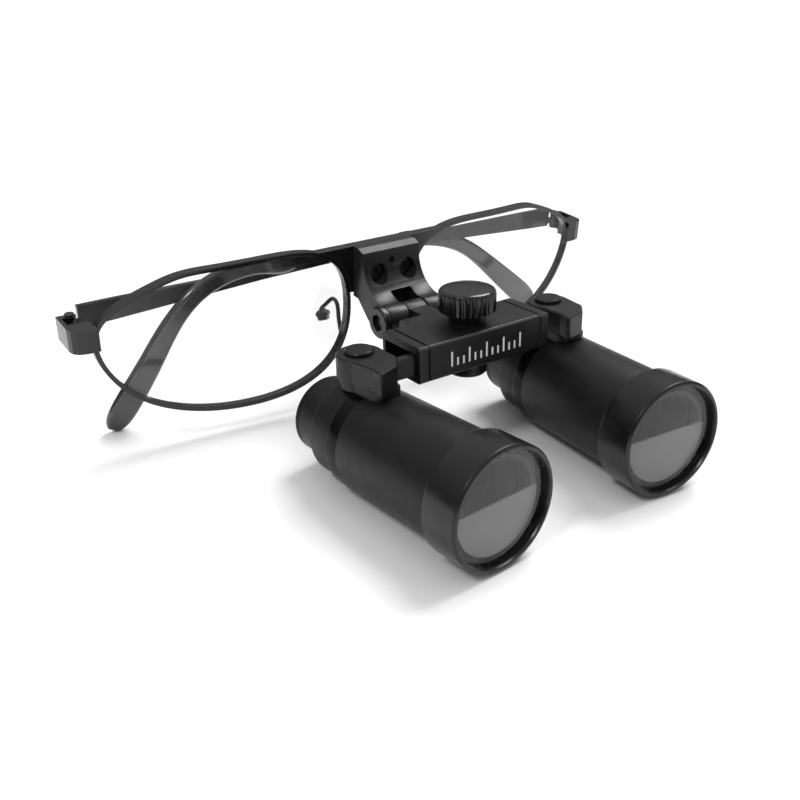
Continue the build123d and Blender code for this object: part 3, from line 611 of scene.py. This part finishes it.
# ---------------------------------------------------------------- CAD nodes that keep their shape
for node in ("crossbar_housing", "end_cap_left", "end_cap_right", "slide_arm_left", "slide_arm_right",
             "saddle_left", "saddle_right", "pinion_cap"):
    dress(node, SATIN, 0.18)
dress("bracket", BRACKET, 0.18)
for node in ("bridge_plate", "end_piece_left", "end_piece_right", "temple_blade_left", "temple_blade_right"):
    dress(node, FRAME, 0.15)
for node in ("rim_left", "rim_right"):
    dress(node, FRAME, 0.3)
for node in ("lens_left", "lens_right"):
    dress(node, GLASS)
for node in ("erecting_lens_left", "erecting_lens_right", "eyepiece_lens_left", "eyepiece_lens_right"):
    dress(node, COATED)
for node in ("baffle_left", "baffle_right"):
    dress(node, BORE, 0.12)
for node in ("temple_tip_left", "temple_tip_right"):
    dress(node, TIP)
dress("pinion_bush", BRASS)
for node in ("hinge_pin", "pivot_screw_left", "pivot_screw_right"):
    dress(node, BEZEL, 0.12)
for node in ("bracket_screws", "hinge_nut", "hinge_washer", "temple_screws", "pad_screws", "friction_washer",
             "knob_grub_screw", "pinion_shaft", "saddle_screws_left", "saddle_screws_right", "focus_screw_left",
             "focus_screw_right"):
    dress(node, GUN)


# ---------------------------------------------------------------- stage
def make_floor():
    mesh = bpy.data.meshes.new("floor")
    mesh.from_pydata([(-6, -6, 0), (6, -6, 0), (6, 6, 0), (-6, 6, 0)], [], [(0, 1, 2, 3)])
    mesh.materials.append(plain_paper("floor_paper", 0.93))
    floor = bpy.data.objects.new("floor", mesh)
    bpy.context.scene.collection.objects.link(floor)
    floor.location.z = cad_box[0][2] - 0.00005


def soft_light(name, at, target, size, power):
    lamp = bpy.data.lights.new(name, "AREA")
    lamp.shape = "RECTANGLE"
    lamp.size, lamp.size_y = size
    lamp.energy = power
    light = bpy.data.objects.new(name, lamp)
    light.location = at
    light.rotation_euler = (Vector(target) - Vector(at)).to_track_quat("-Z", "Y").to_euler()
    bpy.context.scene.collection.objects.link(light)


def sun_light(name, azimuth, height, spread, strength):
    """Large soft source far away; angles in degrees, azimuth from +X towards +Y."""
    lamp = bpy.data.lights.new(name, "SUN")
    lamp.angle = math.radians(spread)
    lamp.energy = strength
    light = bpy.data.objects.new(name, lamp)
    a, h = math.radians(azimuth), math.radians(height)
    towards = Vector((math.cos(a) * math.cos(h), math.sin(a) * math.cos(h), math.sin(h)))
    light.rotation_euler = towards.to_track_quat("Z", "Y").to_euler()
    bpy.context.scene.collection.objects.link(light)


def make_world(low, high, strength):
    """Dim round the horizon and bright overhead, like a soft box above a table."""
    world = bpy.data.worlds.new("studio")
    world.use_nodes = True
    tree = world.node_tree
    where = tree.nodes.new("ShaderNodeTexCoord")
    split = tree.nodes.new("ShaderNodeSeparateXYZ")
    ramp = tree.nodes.new("ShaderNodeValToRGB")
    for element, (at, shade) in zip(ramp.color_ramp.elements, ((0.1, low), (0.75, high))):
        element.position = at
        element.color = (shade, shade, shade, 1)
    tree.links.new(where.outputs["Generated"], split.inputs["Vector"])
    tree.links.new(split.outputs["Z"], ramp.inputs["Fac"])
    ground = tree.nodes["Background"]
    tree.links.new(ramp.outputs["Color"], ground.inputs["Color"])
    ground.inputs["Strength"].default_value = strength
    bpy.context.scene.world = world


def make_camera():
    data = bpy.data.cameras.new("camera")
    data.lens, data.sensor_width = 42.42, 36.0
    data.shift_x, data.shift_y = -0.0094, 0.0035
    data.clip_start, data.clip_end = 0.01, 50
    azimuth, elevation = math.radians(-35.04), math.radians(26.88)
    back = Vector((math.sin(azimuth) * math.cos(elevation), -math.cos(azimuth) * math.cos(elevation),
                   math.sin(elevation)))
    camera = bpy.data.objects.new("camera", data)
    camera.location = (-0.1156, -0.14994, 0.1043)
    camera.rotation_euler = back.to_track_quat("Z", "Y").to_euler()
    bpy.context.scene.collection.objects.link(camera)
    bpy.context.scene.camera = camera


make_floor()
sun_light("key", 15, 55, 35, 2.6)
soft_light("front", (-0.45, -0.15, 0.55), (0, 0, 0.02), (0.12, 0.12), 1.2)
make_world(0.10, 1.0, 0.75)
make_camera()
bpy.context.scene.view_settings.view_transform = "Standard"
